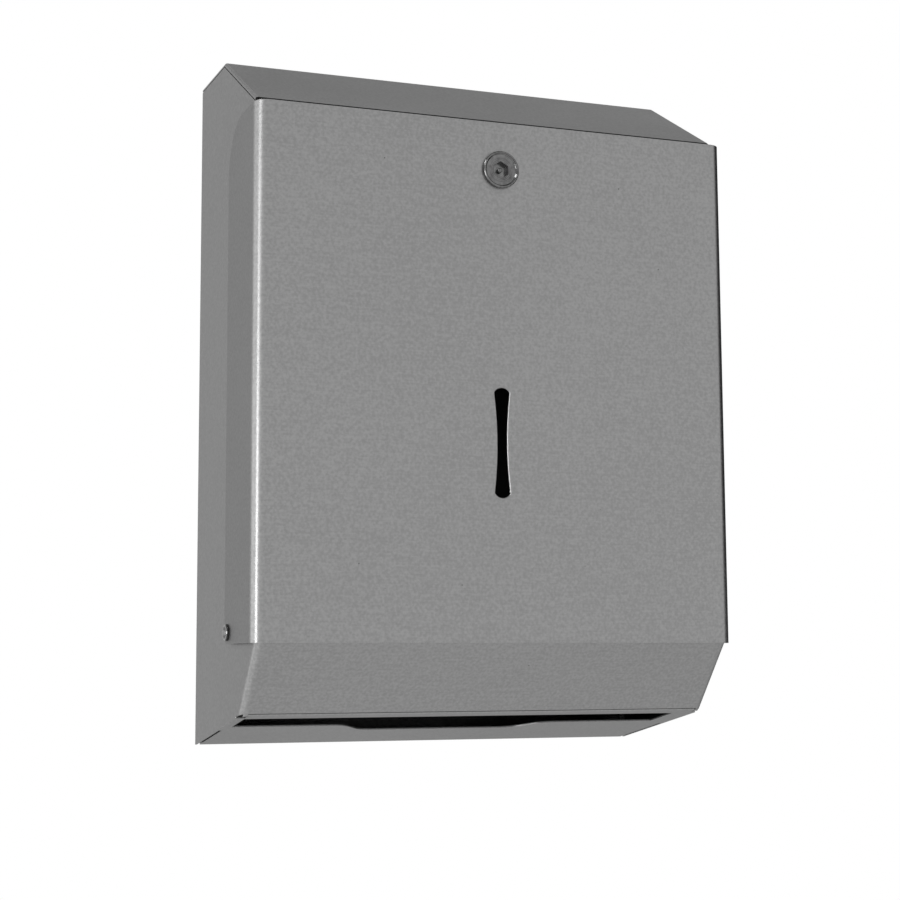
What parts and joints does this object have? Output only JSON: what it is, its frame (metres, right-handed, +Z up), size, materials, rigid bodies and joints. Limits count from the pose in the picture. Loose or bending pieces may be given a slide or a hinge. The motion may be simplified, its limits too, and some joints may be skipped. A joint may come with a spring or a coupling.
{
  "type": "paper towel dispenser",
  "caption": "Wall-mounted folded paper towel dispenser in satin steel sheet, with a locking drop-down door, a level window and a towel mouth below.",
  "frame": {"origin": "centre of the four wall holes, on the wall plane", "axes": "+Z up, +Y into the wall, the door faces -Y, +X to the viewer's right"},
  "size_m": [0.2774, 0.1383, 0.385],
  "materials": {
    "satin_steel": "fine brushed satin stainless sheet",
    "rivet_steel": "turned stainless, slightly dull",
    "nylon": "natural nylon",
    "lock_chrome": "bright chrome with fine turning marks",
    "zinc_steel": "bright zinc plating"
  },
  "bodies": {
    "body": {"back_panel": "satin_steel", "top_panel": "satin_steel", "side_wrap": "satin_steel", "bottom_panel": "satin_steel", "strike_plate": "satin_steel", "hinge_doubler_left": "satin_steel", "hinge_doubler_right": "satin_steel", "hinge_rivet_left": "rivet_steel", "hinge_rivet_right": "rivet_steel", "rivet_washer_left": "rivet_steel", "rivet_washer_right": "rivet_steel", "hinge_spacer_left": "nylon", "hinge_spacer_right": "nylon"},
    "door": {"door": "satin_steel", "lock_housing": "lock_chrome", "lock_washer": "zinc_steel", "lock_nut": "zinc_steel"},
    "lock_plug": {"lock_core": "lock_chrome", "lock_pin": "rivet_steel", "lock_cam": "zinc_steel", "cam_washer": "zinc_steel", "cam_screw": "zinc_steel"}
  },
  "joints": [
    {"name": "door_hinge", "type": "hinge", "parent": "body", "child": "door", "pos_m": [0, -0.0818, -0.1381], "axis": [1, 0, 0], "range_deg": [0, 95]},
    {"name": "lock_turn", "type": "hinge", "parent": "door", "child": "lock_plug", "pos_m": [0, -0.1363, 0.1127], "axis": [0, -1, 0], "range_deg": [0, 90]}
  ]
}
